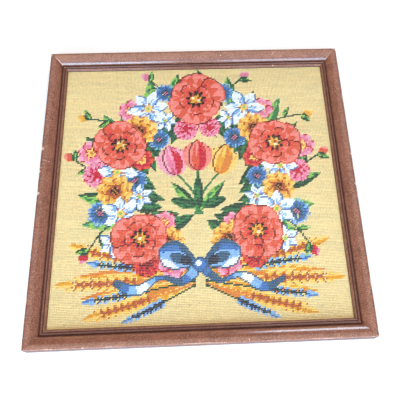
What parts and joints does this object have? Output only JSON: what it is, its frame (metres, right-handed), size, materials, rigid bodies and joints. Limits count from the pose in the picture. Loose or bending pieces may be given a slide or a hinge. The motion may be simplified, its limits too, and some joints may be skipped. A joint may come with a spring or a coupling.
{
  "type": "needlepoint canvas panel in a wooden frame",
  "caption": "Stitched floral needlepoint canvas held flat in a nearly square, mitred wooden frame with a wide rounded band and thin inner beads.",
  "frame": {"origin": "under the middle of the frame, at the height of its flat back", "axes": "+Z out of the stitched face, +Y towards the picture's top edge, +X towards its right edge"},
  "size_m": [0.4398, 0.4314, 0.0215],
  "materials": {
    "frame_wood": "satin brown lacquer, speckled, worn along the outer edges",
    "wool": "matt wool yarn in tent stitch on a plain-weave cotton canvas"
  },
  "bodies": {
    "root": {"rail_top": "frame_wood", "rail_bottom": "frame_wood", "rail_left": "frame_wood", "rail_right": "frame_wood", "needlepoint_canvas": "wool"}
  },
  "joints": []
}
